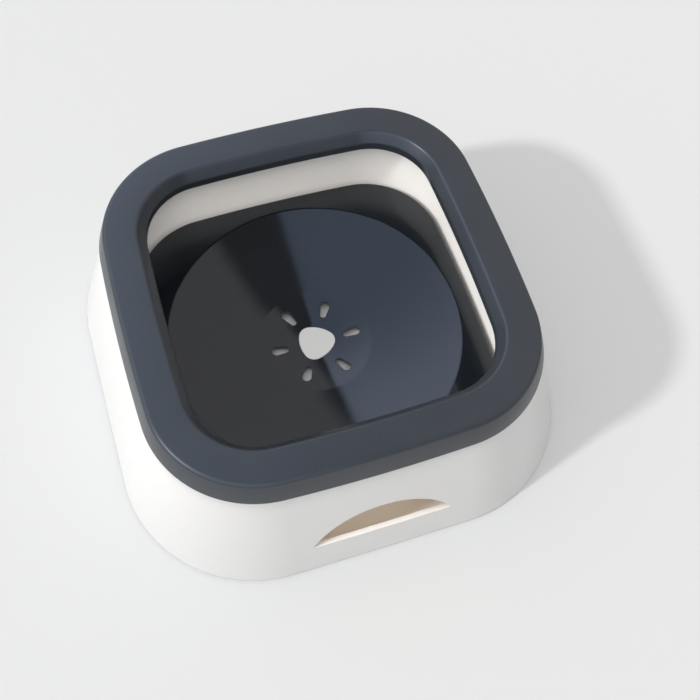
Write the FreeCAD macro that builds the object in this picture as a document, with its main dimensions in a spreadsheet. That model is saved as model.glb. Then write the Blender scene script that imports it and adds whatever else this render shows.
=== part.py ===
import FreeCAD, Part
import math
import os
import Sketcher

# No spill water bowl for a dog, in millimetres, +Z up.
# The origin is on the floor under the middle of the bowl. The front finger opening faces -Y.
# Every outline is a square with rounded corners and slightly bowed sides. Apart from the foot of the
# outer wall they all share one corner centre and one bow, so they are offsets of each other.

doc = FreeCAD.newDocument("no_spill_bowl")

# Driving sizes: alias, value, meaning.
driving_sizes = [
    ("overall_height", 73.0, "floor to the top of the ring"),
    ("corner_centre", 40.0, "corner arc centre, from the middle along each side"),
    ("bow_centre", 830.0, "side arc centre, beyond the middle"),
    ("base_spread", 17.0, "how far the outer wall stands out at its foot, past its shoulder"),
    ("base_corner_centre", 43.0, "corner arc centre at the foot of the outer wall"),
    ("base_bow_centre", 4640.0, "side arc centre at the foot of the outer wall"),
    ("base_lift", 0.6, "floor to the lower edge of the outer wall"),
    ("body_wall", 2.3, "thickness of the outer wall"),
    ("root_depth", 2.6, "solid depth below the shoulder, where outer wall and basin join"),
    ("rim_land", 3.4, "width of the flat land between basin and neck"),
    ("well_draft", 1.0, "lean of the basin wall, degrees"),
    ("well_wall", 2.2, "thickness of the basin wall"),
    ("well_floor", 2.2, "thickness of the basin floor"),
    ("well_fillet", 8.0, "inside radius round the basin floor"),
    ("edge_round", 0.7, "small rounding of moulded edges"),
    ("finger_half", 33.0, "half width of a finger opening"),
    ("finger_sill", 18.0, "floor to the straight lower edge of a finger opening"),
    ("finger_rise", 18.0, "height of a finger opening"),
    ("ring_half", 92.3, "half width of the ring at the lower edge of its skirt"),
    ("ring_overhang", 1.3, "how far the skirt edge stands out past the outer wall"),
    ("ring_draft", 17.0, "lean of the ring skirt, degrees"),
    ("ring_skirt", 10.1, "depth of the skirt below the seat"),
    ("ring_wall", 2.2, "thickness of the ring skirt"),
    ("ring_top", 2.4, "thickness of the flat top of the ring"),
    ("ring_outer_round", 2.4, "radius of the outer top edge"),
    ("bevel_width", 3.6, "how far the top slopes down to the opening, seen from above"),
    ("bevel_depth", 5.1, "how far the slope goes down"),
    ("bevel_round", 1.8, "rounding above and below the slope"),
    ("ring_cover", 13.4, "how far the ring reaches in over the basin"),
    ("lip_depth", 9.5, "ring top down to the lower edge of the lip"),
    ("lip_wall", 3.0, "thickness of the lip"),
    ("neck_gap", 0.5, "play between ring skirt and neck"),
    ("shoulder_gap", 0.3, "play between skirt edge and shoulder"),
    ("lug_width", 24.0, "width of a clip lug"),
    ("lug_height", 1.4, "height of a clip lug"),
    ("lug_drop", 5.6, "seat down to the middle of a clip lug"),
    ("lug_bite", 0.5, "how far a clip lug reaches into its recess"),
    ("lug_gap", 0.3, "play around a clip lug"),
    ("float_seat_gap", 0.3, "basin floor to the float, bowl empty"),
    ("float_side_gap", 2.3, "basin wall at its floor to the edge of the float"),
    ("drip_gap", 1.2, "float floor to the lowest point under the dimple"),
    ("plate_thickness", 2.2, "thickness of the plate outside the dish"),
    ("plate_turndown", 4.0, "depth of the plate's turned down edge"),
    ("plate_edge_wall", 1.8, "thickness of the turned down edge"),
    ("plate_round", 1.0, "radius of the plate's upper edge"),
    ("plate_border", 7.5, "edge of the dish to the side of the plate"),
    ("dish_depth", 12.6, "depth of the dish, measured without the dimple"),
    ("dish_wall", 2.0, "thickness of the dish"),
    ("dish_round", 2.0, "rounding of the edge of the dish"),
    ("dimple_radius", 28.0, "radius of the dimple"),
    ("dimple_depth", 3.4, "depth of the dimple below its edge"),
    ("slot_count", 6.0, "slots and water inlets"),
    ("slot_start", 14.2, "middle to the inner end of a slot"),
    ("slot_end", 23.0, "middle to the outer end of a slot"),
    ("slot_inner_round", 1.6, "half width of a slot at its inner end"),
    ("slot_outer_round", 2.3, "half width of a slot at its outer end"),
    ("insert_spread", 4.4, "middle to the centre of a rounded point of the triangular hole"),
    ("insert_round", 5.5, "radius of the rounded points"),
    ("insert_side_centre", 7.8, "middle to the centre of a side arc of the triangular hole"),
    ("insert_gap", 0.1, "play around the triangular boss"),
    ("chamber_inset", 6.0, "edge of the dish to the outer wall of the float's lower shell"),
    ("chamber_wall", 1.8, "thickness of the shell's upright walls"),
    ("chamber_floor", 1.4, "thickness of the shell's floor"),
    ("hub_gap", 2.5, "edge of the dimple to the shell's inner wall"),
    ("glue_gap", 0.1, "shell walls to the underside of the dish"),
    ("inlet_radius", 2.5, "radius of a water inlet"),
    ("inlet_reach", 20.0, "middle to the middle of a water inlet"),
    ("foot_radius", 7.5, "radius of a foot pad"),
    ("foot_thickness", 1.8, "thickness of a foot pad"),
    ("foot_recess", 0.6, "depth of the recess that holds a foot pad"),
    ("foot_inset", 25.0, "basin wall at its floor to the middle of a foot pad"),
    ("foot_edge", 0.5, "rounding of a foot pad"),
    ("foot_gap", 0.1, "play around a foot pad"),
]

# Worked sizes: name, formula. A name without a prefix is an earlier worked size.
worked_sizes = [
    ("seat_height", "sizes.overall_height - sizes.ring_top"),
    ("shoulder_height", "seat_height - sizes.ring_skirt - sizes.shoulder_gap"),
    ("shoulder_half", "sizes.ring_half - sizes.ring_overhang"),
    ("base_half", "shoulder_half + sizes.base_spread"),
    ("flare", "sizes.base_spread / (shoulder_height - sizes.base_lift)"),
    ("body_wall_across", "sizes.body_wall * sqrt(1 + flare ^ 2)"),
    ("cavity_height", "shoulder_height - sizes.root_depth"),
    ("cavity_foot_half", "base_half - body_wall_across"),
    ("wall_top_half", "shoulder_half - body_wall_across"),
    ("root_half", "shoulder_half - body_wall_across / 2"),
    ("skirt_lean", "tan(sizes.ring_draft)"),
    ("ring_seat_half", "sizes.ring_half - sizes.ring_skirt * skirt_lean"),
    ("ring_top_half", "ring_seat_half - sizes.ring_top * skirt_lean"),
    ("ring_depth", "sizes.ring_skirt + sizes.ring_top"),
    ("skirt_inner_half", "sizes.ring_half - sizes.ring_wall / cos(sizes.ring_draft)"),
    ("seat_inner_half", "skirt_inner_half - sizes.ring_skirt * skirt_lean"),
    ("neck_top_half", "seat_inner_half - sizes.neck_gap"),
    ("neck_foot_half", "neck_top_half + (seat_height - shoulder_height) * skirt_lean"),
    ("basin_underside", "sizes.foot_thickness - sizes.foot_recess"),
    ("floor_height", "basin_underside + sizes.well_floor"),
    ("well_top_half", "neck_top_half - sizes.rim_land"),
    ("well_half", "well_top_half - (seat_height - floor_height) * tan(sizes.well_draft)"),
    ("basin_foot_half", "well_half + sizes.well_wall"),
    ("basin_top_half", "well_top_half + sizes.well_wall"),
    ("basin_mid_half", "well_top_half + sizes.well_wall / 2"),
    ("basin_round", "sizes.well_fillet + sizes.well_wall"),
    ("skirt_edge", "-sizes.ring_skirt"),
    ("hole_half", "well_top_half - sizes.ring_cover"),
    ("bevel_half", "hole_half + sizes.bevel_width"),
    ("bevel_foot", "sizes.ring_top - sizes.bevel_depth"),
    ("lip_edge", "sizes.ring_top - sizes.lip_depth"),
    ("lip_outer_half", "hole_half + sizes.lip_wall"),
    ("lug_neck_half", "neck_top_half + sizes.lug_drop * skirt_lean"),
    ("lug_tip", "lug_neck_half - sizes.lug_bite"),
    ("lug_length", "sizes.lug_bite + sizes.neck_gap + sizes.ring_wall / 2"),
    ("lug_low", "-sizes.lug_drop - sizes.lug_height / 2"),
    ("lug_high", "-sizes.lug_drop + sizes.lug_height / 2"),
    ("lug_side", "sizes.lug_width / 2"),
    ("recess_depth", "lug_tip - sizes.lug_gap"),
    ("recess_low", "seat_height + lug_low - sizes.lug_gap"),
    ("recess_high", "seat_height + lug_high + sizes.lug_gap"),
    ("recess_side", "lug_side + sizes.lug_gap"),
    ("finger_radius", "(sizes.finger_half ^ 2 + sizes.finger_rise ^ 2) / (2 * sizes.finger_rise)"),
    ("finger_start", "basin_top_half + sizes.body_wall"),
    ("disc_half", "well_half - sizes.float_side_gap"),
    ("disc_inner_half", "disc_half - sizes.plate_edge_wall"),
    ("dish_radius", "disc_half - sizes.plate_border"),
    ("dish_arc", "(dish_radius ^ 2 + sizes.dish_depth ^ 2) / (2 * sizes.dish_depth)"),
    ("dish_lift", "sqrt(dish_arc ^ 2 - dish_radius ^ 2)"),
    ("dimple_lift", "sqrt(dish_arc ^ 2 - sizes.dimple_radius ^ 2)"),
    ("dimple_bottom", "sizes.chamber_floor + sizes.drip_gap + sizes.dish_wall"),
    ("dimple_rim", "dimple_bottom + sizes.dimple_depth"),
    ("float_height", "dimple_rim + dimple_lift - dish_lift"),
    ("dish_middle", "float_height + dish_lift"),
    ("dimple_arc", "(sizes.dimple_radius ^ 2 + sizes.dimple_depth ^ 2) / (2 * sizes.dimple_depth)"),
    ("dimple_middle", "dimple_bottom + dimple_arc"),
    ("dish_middle_under", "dish_middle - sizes.dish_wall"),
    ("dimple_middle_under", "dimple_middle - sizes.dish_wall"),
    ("dish_rim_under", "float_height - sizes.dish_wall"),
    ("dimple_rim_under", "dimple_rim - sizes.dish_wall"),
    ("dimple_bottom_under", "dimple_bottom - sizes.dish_wall"),
    ("above_plate", "float_height + sizes.plate_thickness"),
    ("turndown_edge", "float_height - sizes.plate_turndown"),
    ("plate_hollow", "sizes.plate_turndown - sizes.plate_thickness"),
    ("float_rest", "floor_height + sizes.float_seat_gap"),
    ("chamber_radius", "dish_radius - sizes.chamber_inset"),
    ("chamber_inside", "chamber_radius - sizes.chamber_wall"),
    ("hub_radius", "sizes.dimple_radius + sizes.hub_gap"),
    ("hub_outside", "hub_radius + sizes.chamber_wall"),
    ("under_middle", "dish_middle_under - sizes.glue_gap"),
    ("outer_wall_top", "under_middle - sqrt(dish_arc ^ 2 - chamber_radius ^ 2)"),
    ("outer_wall_top_inside", "under_middle - sqrt(dish_arc ^ 2 - chamber_inside ^ 2)"),
    ("hub_wall_top_outside", "under_middle - sqrt(dish_arc ^ 2 - hub_outside ^ 2)"),
    ("hub_wall_top", "under_middle - sqrt(dish_arc ^ 2 - hub_radius ^ 2)"),
    ("insert_reach", "sizes.insert_spread + sizes.insert_round"),
    ("insert_spread_back", "sizes.insert_spread * cos(60)"),
    ("insert_spread_side", "sizes.insert_spread * sin(60)"),
    ("insert_side_swing", "sizes.insert_spread ^ 2 + sizes.insert_side_centre ^ 2"),
    ("insert_centres", "sqrt(insert_side_swing + sizes.insert_spread * sizes.insert_side_centre)"),
    ("insert_side_arc", "sizes.insert_round + insert_centres"),
    ("boss_round", "sizes.insert_round - sizes.insert_gap"),
    ("boss_side_arc", "insert_side_arc - sizes.insert_gap"),
    ("boss_top", "dimple_middle - sqrt(dimple_arc ^ 2 - insert_reach ^ 2)"),
    ("boss_start", "sizes.chamber_floor / 2"),
    ("boss_length", "boss_top - boss_start"),
    ("slot_inner_centre", "sizes.slot_start + sizes.slot_inner_round"),
    ("slot_outer_centre", "sizes.slot_end - sizes.slot_outer_round"),
    ("inlet_x", "sizes.inlet_reach * cos(180 / sizes.slot_count)"),
    ("inlet_y", "sizes.inlet_reach * sin(180 / sizes.slot_count)"),
    ("foot_reach", "well_half - sizes.foot_inset"),
    ("recess_radius", "sizes.foot_radius + sizes.foot_gap"),
]

# The bowl is square: clip lugs and feet come once for each side or corner.
side_count = 4


def make_sizes():
    sheet = doc.addObject("Spreadsheet::Sheet", "sizes")
    for row, (alias, value, meaning) in enumerate(driving_sizes, start=1):
        sheet.set("A%d" % row, alias)
        sheet.set("B%d" % row, str(value))
        sheet.set("C%d" % row, meaning)
        sheet.setAlias("B%d" % row, alias)
    doc.recompute()
    worked = doc.addObject("App::VarSet", "worked")
    for name, formula in worked_sizes:
        worked.addProperty("App::PropertyFloat", name)
        worked.setExpression(name, formula)
    doc.recompute()


def number(size):
    # The value behind a reference such as sizes.body_wall. None stands for zero.
    if size is None:
        return 0.0
    owner, name = size.split(".")
    return float(getattr(doc.getObject(owner), name))


def new_body(label):
    body = doc.addObject("PartDesign::Body", label)
    body.Label = label
    return body


def origin_feature(body, role):
    for feature in body.Origin.OriginFeatures:
        if feature.Role == role:
            return feature
    raise RuntimeError("no " + role)


def new_sketch(body, name, role, level=None):
    sketch = body.newObject("Sketcher::SketchObject", name)
    sketch.AttachmentSupport = [(origin_feature(body, role), "")]
    sketch.MapMode = "FlatFace"
    if level:
        sketch.setExpression("AttachmentOffset.Base.z", level)
    return sketch


def bind(sketch, constraint, name, formula):
    index = sketch.addConstraint(constraint)
    sketch.renameConstraint(index, name)
    sketch.setExpression("Constraints." + name, formula)


def place_point(sketch, name, geometry, point, x_size, y_size):
    # A size of None puts the point on that axis.
    for kind, ending, size, axis in (("DistanceX", "_x", x_size, -2), ("DistanceY", "_y", y_size, -1)):
        if size:
            distance = Sketcher.Constraint(kind, -1, 1, geometry, point, number(size))
            bind(sketch, distance, name + ending, size)
        else:
            sketch.addConstraint(Sketcher.Constraint("PointOnObject", geometry, point, axis))


def arc(x, y, radius, start, end):
    circle = Part.Circle(FreeCAD.Vector(x, y, 0), FreeCAD.Vector(0, 0, 1), radius)
    return Part.ArcOfCircle(circle, start, end)


def add_outline(sketch, name, half, corner="sizes.corner_centre", bow="sizes.bow_centre"):
    # Four side arcs, each centred beyond the middle, and four corner arcs tangent to them.
    side_radius = number(half) + number(bow)
    turn = math.atan2(number(corner), number(corner) + number(bow))
    reach = math.hypot(number(corner), number(corner) + number(bow))
    corner_radius = side_radius - reach
    diagonal = number(corner) * math.sqrt(2)
    sides = []
    corners = []
    for k in range(4):
        facing = k * math.pi / 2
        x = -number(bow) * math.cos(facing)
        y = -number(bow) * math.sin(facing)
        sides.append(sketch.addGeometry(arc(x, y, side_radius, facing - turn, facing + turn)))
        x = diagonal * math.cos(facing + math.pi / 4)
        y = diagonal * math.sin(facing + math.pi / 4)
        start = facing + turn
        end = facing + math.pi / 2 - turn
        corners.append(sketch.addGeometry(arc(x, y, corner_radius, start, end)))
    for k in range(4):
        sketch.addConstraint(Sketcher.Constraint("Tangent", sides[k], 2, corners[k], 1))
        sketch.addConstraint(Sketcher.Constraint("Tangent", corners[k], 2, sides[(k + 1) % 4], 1))
    for k in range(4):
        axis = "DistanceX" if k % 2 == 0 else "DistanceY"
        line = -1 if k % 2 == 0 else -2
        sketch.addConstraint(Sketcher.Constraint("PointOnObject", sides[k], 3, line))
        if k < 2:
            distance = Sketcher.Constraint(axis, sides[k], 3, -1, 1, number(bow))
        else:
            distance = Sketcher.Constraint(axis, -1, 1, sides[k], 3, number(bow))
        bind(sketch, distance, "%s_bow_%d" % (name, k), bow)
        radius = Sketcher.Constraint("Radius", sides[k], side_radius)
        bind(sketch, radius, "%s_side_%d" % (name, k), half + " + " + bow)
        if k in (1, 2):
            distance = Sketcher.Constraint("DistanceX", corners[k], 3, -1, 1, number(corner))
        else:
            distance = Sketcher.Constraint("DistanceX", -1, 1, corners[k], 3, number(corner))
        bind(sketch, distance, "%s_corner_%d" % (name, k), corner)


def outline_sketch(body, name, half, level=None, corner="sizes.corner_centre", bow="sizes.bow_centre"):
    sketch = new_sketch(body, name, "XY_Plane", level)
    add_outline(sketch, "outline", half, corner, bow)
    return sketch


def ring_sketch(body, name, outer, inner, level=None, corner="sizes.corner_centre", bow="sizes.bow_centre"):
    sketch = new_sketch(body, name, "XY_Plane", level)
    add_outline(sketch, "outside", outer, corner, bow)
    add_outline(sketch, "inside", inner, corner, bow)
    return sketch


def section_sketch(body, name, points, arcs):
    # A closed section beside the axis. Edge k runs from point k to the next one, and is an arc that is
    # centred on the axis where arcs gives the size of its radius and the height of its centre.
    sketch = new_sketch(body, name, "XZ_Plane")
    count = len(points)
    places = [(number(x) if x else 0.0, number(z) if z else 0.0) for x, z in points]
    for k in range(count):
        start = places[k]
        end = places[(k + 1) % count]
        if k in arcs:
            radius, middle = arcs[k]
            first = math.atan2(start[1] - number(middle), start[0])
            last = math.atan2(end[1] - number(middle), end[0])
            sketch.addGeometry(arc(0, number(middle), number(radius), min(first, last), max(first, last)))
        else:
            a = FreeCAD.Vector(start[0], start[1], 0)
            b = FreeCAD.Vector(end[0], end[1], 0)
            sketch.addGeometry(Part.LineSegment(a, b))
    backwards = [k for k in arcs if places[k][0] > places[(k + 1) % count][0]]
    for k in range(count):
        after = (k + 1) % count
        finish = 1 if k in backwards else 2
        begin = 2 if after in backwards else 1
        sketch.addConstraint(Sketcher.Constraint("Coincident", k, finish, after, begin))
    for k in range(count):
        begin = 2 if k in backwards else 1
        place_point(sketch, "point_%d" % k, k, begin, points[k][0], points[k][1])
    for k in arcs:
        sketch.addConstraint(Sketcher.Constraint("PointOnObject", k, 3, -2))
    return sketch


def add_feature(body, kind, name, profile):
    feature = body.newObject("PartDesign::" + kind, name)
    feature.Profile = profile
    return feature


def loft(body, kind, name, lower, upper):
    feature = add_feature(body, kind, name, lower)
    feature.Sections = [upper]
    feature.Ruled = True
    doc.recompute()
    return feature


def extrude(body, kind, name, sketch, length, backwards=False):
    feature = add_feature(body, kind, name, sketch)
    feature.Reversed = backwards
    feature.setExpression("Length", length)
    doc.recompute()
    return feature


def turn_section(body, kind, name, sketch):
    feature = add_feature(body, kind, name, sketch)
    feature.ReferenceAxis = (sketch, ["V_Axis"])
    feature.Angle = 360
    doc.recompute()
    return feature


def polar_pattern(body, name, feature):
    pattern = body.newObject("PartDesign::PolarPattern", name)
    pattern.Originals = [feature]
    pattern.Axis = (origin_feature(body, "Z_Axis"), [""])
    pattern.Angle = 360
    body.Tip = pattern
    return pattern


def lean_sides(body, name, angle):
    # Leans every upright face inwards, turning it where it meets the body's own zero level.
    previous = body.Tip
    uprights = []
    for index, face in enumerate(previous.Shape.Faces, start=1):
        if face.BoundBox.ZLength > 1e-3:
            uprights.append("Face%d" % index)
    feature = body.newObject("PartDesign::Draft", name)
    feature.Base = (previous, uprights)
    feature.NeutralPlane = (origin_feature(body, "XY_Plane"), [""])
    feature.setExpression("Angle", angle)
    doc.recompute()


def round_edges(body, name, edges, radius):
    previous = body.Tip
    feature = body.newObject("PartDesign::Fillet", name)
    feature.Base = (previous, edges)
    feature.setExpression("Radius", radius)
    doc.recompute()


def bevel_edges(body, name, edges, across, down):
    previous = body.Tip
    feature = body.newObject("PartDesign::Chamfer", name)
    feature.Base = (previous, edges)
    feature.ChamferType = "Two distances"
    feature.setExpression("Size", across)
    feature.setExpression("Size2", down)
    doc.recompute()


def edge_points(edge):
    span = edge.LastParameter - edge.FirstParameter
    return [edge.valueAt(edge.FirstParameter + span * step / 4) for step in range(5)]


def outline_offset(point, corner, bow):
    # The half width of the outline of this corner and bow that passes through a point.
    reach = math.hypot(corner + bow, corner)
    x = max(abs(point.x), abs(point.y))
    y = min(abs(point.x), abs(point.y))
    if math.atan2(y, x + bow) < math.atan2(corner, corner + bow):
        return math.hypot(x + bow, y) - bow
    return math.hypot(x - corner, y - corner) + reach - bow


def edges_on(body, height, measure, size):
    # Names of the edges that lie flat at one height and have one measure all along.
    names = []
    for index, edge in enumerate(body.Tip.Shape.Edges, start=1):
        points = edge_points(edge)
        level = max(abs(point.z - number(height)) for point in points)
        miss = max(abs(measure(point) - number(size)) for point in points)
        if level < 0.01 and miss < 0.05:
            names.append("Edge%d" % index)
    if not names:
        raise RuntimeError("%s has no edge at %s" % (body.Label, height))
    return names


def outline_edges(body, height, half, corner="sizes.corner_centre", bow="sizes.bow_centre"):
    corner_x = number(corner)
    bow_x = number(bow)
    return edges_on(body, height, lambda point: outline_offset(point, corner_x, bow_x), half)


def circle_edges(body, height, radius):
    return edges_on(body, height, lambda point: math.hypot(point.x, point.y), radius)


def must_shrink(body, before, step):
    if body.Shape.Volume > before - 1.0:
        raise RuntimeError("%s: %s cut nothing" % (body.Label, step))


def add_box_outline(sketch, side, low, high):
    # A rectangle centred on the vertical axis.
    across = number(side)
    corners = [(-across, number(low)), (across, number(low)), (across, number(high)), (-across, number(high))]
    for k in range(4):
        start = FreeCAD.Vector(corners[k][0], corners[k][1], 0)
        end = FreeCAD.Vector(corners[(k + 1) % 4][0], corners[(k + 1) % 4][1], 0)
        sketch.addGeometry(Part.LineSegment(start, end))
    for k in range(4):
        sketch.addConstraint(Sketcher.Constraint("Coincident", k, 2, (k + 1) % 4, 1))
    sketch.addConstraint(Sketcher.Constraint("Symmetric", 0, 1, 0, 2, -2))
    sketch.addConstraint(Sketcher.Constraint("Symmetric", 2, 1, 2, 2, -2))
    bind(sketch, Sketcher.Constraint("DistanceX", -1, 1, 0, 2, across), "side_low", side)
    bind(sketch, Sketcher.Constraint("DistanceX", -1, 1, 2, 1, across), "side_high", side)
    bind(sketch, Sketcher.Constraint("DistanceY", -1, 1, 0, 1, number(low)), "low", low)
    bind(sketch, Sketcher.Constraint("DistanceY", -1, 1, 2, 1, number(high)), "high", high)


def add_circle(sketch, x_size, y_size, radius):
    middle = FreeCAD.Vector(number(x_size) if x_size else 0, number(y_size) if y_size else 0, 0)
    sketch.addGeometry(Part.Circle(middle, FreeCAD.Vector(0, 0, 1), number(radius)))
    if x_size:
        place_point(sketch, "middle", 0, 3, x_size, y_size)
    else:
        sketch.addConstraint(Sketcher.Constraint("Coincident", 0, 3, -1, 1))
    bind(sketch, Sketcher.Constraint("Radius", 0, number(radius)), "radius", radius)


def add_finger_outline(sketch):
    # A straight sill and one arc above it.
    half = number("sizes.finger_half")
    sill = number("sizes.finger_sill")
    radius = number("worked.finger_radius")
    centre = sill + number("sizes.finger_rise") - radius
    start = math.atan2(sill - centre, half)
    sketch.addGeometry(Part.LineSegment(FreeCAD.Vector(-half, sill, 0), FreeCAD.Vector(half, sill, 0)))
    sketch.addGeometry(arc(0, centre, radius, start, math.pi - start))
    sketch.addConstraint(Sketcher.Constraint("Coincident", 0, 2, 1, 1))
    sketch.addConstraint(Sketcher.Constraint("Coincident", 0, 1, 1, 2))
    sketch.addConstraint(Sketcher.Constraint("Symmetric", 0, 1, 0, 2, -2))
    place_point(sketch, "sill_end", 0, 2, "sizes.finger_half", "sizes.finger_sill")
    bind(sketch, Sketcher.Constraint("Radius", 1, radius), "arch", "worked.finger_radius")


def add_slot(sketch):
    # A slot along X with a small round inner end and a larger round outer end.
    inner_x = number("worked.slot_inner_centre")
    outer_x = number("worked.slot_outer_centre")
    inner_round = number("sizes.slot_inner_round")
    outer_round = number("sizes.slot_outer_round")
    facing = math.pi / 2 + math.asin((outer_round - inner_round) / (outer_x - inner_x))
    inner_end = FreeCAD.Vector(inner_x + inner_round * math.cos(facing), inner_round * math.sin(facing), 0)
    outer_end = FreeCAD.Vector(outer_x + outer_round * math.cos(facing), outer_round * math.sin(facing), 0)
    outer = sketch.addGeometry(arc(outer_x, 0, outer_round, -facing, facing))
    upper = sketch.addGeometry(Part.LineSegment(outer_end, inner_end))
    inner = sketch.addGeometry(arc(inner_x, 0, inner_round, facing, 2 * math.pi - facing))
    inner_end.y = -inner_end.y
    outer_end.y = -outer_end.y
    lower = sketch.addGeometry(Part.LineSegment(inner_end, outer_end))
    ring = [outer, upper, inner, lower]
    for k in range(4):
        sketch.addConstraint(Sketcher.Constraint("Tangent", ring[k], 2, ring[(k + 1) % 4], 1))
    place_point(sketch, "outer", outer, 3, "worked.slot_outer_centre", None)
    place_point(sketch, "inner", inner, 3, "worked.slot_inner_centre", None)
    bind(sketch, Sketcher.Constraint("Radius", outer, outer_round), "outer_round", "sizes.slot_outer_round")
    bind(sketch, Sketcher.Constraint("Radius", inner, inner_round), "inner_round", "sizes.slot_inner_round")


def add_triangle(sketch, point_round, side_arc):
    # Three rounded points, the first one facing +X, joined by three wide arcs.
    spread = number("sizes.insert_spread")
    side_centre = number("sizes.insert_side_centre")
    third = 2 * math.pi / 3
    swing = math.atan2(side_centre * math.sin(third / 2), spread + side_centre * math.cos(third / 2))
    points = []
    sides = []
    for k in range(3):
        facing = k * third
        side_facing = facing + third / 2
        x = spread * math.cos(facing)
        y = spread * math.sin(facing)
        points.append(sketch.addGeometry(arc(x, y, number(point_round), facing - swing, facing + swing)))
        x = -side_centre * math.cos(side_facing)
        y = -side_centre * math.sin(side_facing)
        sides.append(sketch.addGeometry(arc(x, y, number(side_arc), facing + swing, facing + third - swing)))
    for k in range(3):
        sketch.addConstraint(Sketcher.Constraint("Tangent", points[k], 2, sides[k], 1))
        sketch.addConstraint(Sketcher.Constraint("Tangent", sides[k], 2, points[(k + 1) % 3], 1))
    for k in (1, 2):
        sketch.addConstraint(Sketcher.Constraint("Equal", points[0], points[k]))
        sketch.addConstraint(Sketcher.Constraint("Equal", sides[0], sides[k]))
    bind(sketch, Sketcher.Constraint("Radius", points[0], number(point_round)), "point_round", point_round)
    bind(sketch, Sketcher.Constraint("Radius", sides[0], number(side_arc)), "side_arc", side_arc)
    place_point(sketch, "front", points[0], 3, "sizes.insert_spread", None)
    back = Sketcher.Constraint("DistanceX", points[1], 3, -1, 1, number("worked.insert_spread_back"))
    bind(sketch, back, "back", "worked.insert_spread_back")
    side = Sketcher.Constraint("DistanceY", -1, 1, points[1], 3, number("worked.insert_spread_side"))
    bind(sketch, side, "side", "worked.insert_spread_side")
    sketch.addConstraint(Sketcher.Constraint("Symmetric", points[1], 3, points[2], 3, -1))


def cut_through(body, name, sketch, backwards=False):
    before = body.Shape.Volume
    feature = add_feature(body, "Pocket", name, sketch)
    feature.Type = "ThroughAll"
    feature.Reversed = backwards
    doc.recompute()
    must_shrink(body, before, name)
    return feature


def cut_depth(body, name, sketch, depth, backwards=False):
    before = body.Shape.Volume
    feature = extrude(body, "Pocket", name, sketch, depth, backwards)
    must_shrink(body, before, name)
    return feature


def cut_loft(body, name, lower, upper):
    before = body.Shape.Volume
    loft(body, "SubtractiveLoft", name, lower, upper)
    must_shrink(body, before, name)


def repeat_round(body, name, feature):
    pattern = polar_pattern(body, name, feature)
    pattern.Occurrences = side_count
    doc.recompute()


def repeat_slots(body, name, feature):
    pattern = polar_pattern(body, name, feature)
    pattern.setExpression("Occurrences", "sizes.slot_count")
    doc.recompute()


# White moulding: basin and flared outer wall in one piece, open beneath.
def make_bowl_body():
    body = new_body("bowl_body")
    basin_foot = outline_sketch(body, "basin_foot", "worked.basin_foot_half", "worked.basin_underside")
    basin_top = outline_sketch(body, "basin_top", "worked.basin_top_half", "worked.seat_height")
    loft(body, "AdditiveLoft", "basin", basin_foot, basin_top)
    well_foot = outline_sketch(body, "well_foot", "worked.well_half", "worked.floor_height")
    well_top = outline_sketch(body, "well_top", "worked.well_top_half", "worked.seat_height")
    cut_loft(body, "well", well_foot, well_top)
    well_edges = outline_edges(body, "worked.floor_height", "worked.well_half")
    round_edges(body, "well_round", well_edges, "sizes.well_fillet")
    basin_edges = outline_edges(body, "worked.basin_underside", "worked.basin_foot_half")
    round_edges(body, "basin_round", basin_edges, "worked.basin_round")

    wall_foot = ring_sketch(
        body, "wall_foot", "worked.base_half", "worked.cavity_foot_half", "sizes.base_lift",
        "sizes.base_corner_centre", "sizes.base_bow_centre")
    wall_shoulder = ring_sketch(body, "wall_shoulder", "worked.shoulder_half", "worked.wall_top_half",
                                "worked.shoulder_height")
    loft(body, "AdditiveLoft", "outer_wall", wall_foot, wall_shoulder)
    root = ring_sketch(body, "root_outline", "worked.root_half", "worked.basin_mid_half",
                       "worked.cavity_height")
    extrude(body, "Pad", "root", root, "sizes.root_depth")
    neck_foot = ring_sketch(body, "neck_foot", "worked.neck_foot_half", "worked.basin_mid_half",
                            "worked.shoulder_height")
    neck_top = ring_sketch(body, "neck_top", "worked.neck_top_half", "worked.basin_mid_half",
                           "worked.seat_height")
    loft(body, "AdditiveLoft", "neck", neck_foot, neck_top)

    finger = new_sketch(body, "finger_outline", "XZ_Plane", "worked.finger_start")
    add_finger_outline(finger)
    opening = cut_through(body, "finger_opening", finger, True)
    before = body.Shape.Volume
    mirror = body.newObject("PartDesign::Mirrored", "finger_opening_back")
    mirror.Originals = [opening]
    mirror.MirrorPlane = (origin_feature(body, "XZ_Plane"), [""])
    body.Tip = mirror
    doc.recompute()
    must_shrink(body, before, "back finger opening")

    recess = new_sketch(body, "clip_recess_outline", "XZ_Plane", "worked.recess_depth")
    add_box_outline(recess, "worked.recess_side", "worked.recess_low", "worked.recess_high")
    repeat_round(body, "clip_recesses", cut_depth(body, "clip_recess", recess, "sizes.body_wall", True))
    pad_recess = new_sketch(body, "foot_recess_outline", "XY_Plane", "worked.basin_underside")
    add_circle(pad_recess, "worked.foot_reach", "worked.foot_reach", "worked.recess_radius")
    repeat_round(body, "foot_recesses", cut_depth(body, "foot_recess", pad_recess, "sizes.foot_recess", True))

    foot_edges = outline_edges(body, "sizes.base_lift", "worked.base_half",
                               "sizes.base_corner_centre", "sizes.base_bow_centre")
    round_edges(body, "wall_foot_round", foot_edges, "sizes.edge_round")
    shoulder_edges = outline_edges(body, "worked.shoulder_height", "worked.shoulder_half")
    round_edges(body, "shoulder_round", shoulder_edges, "sizes.edge_round")
    return body


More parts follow.
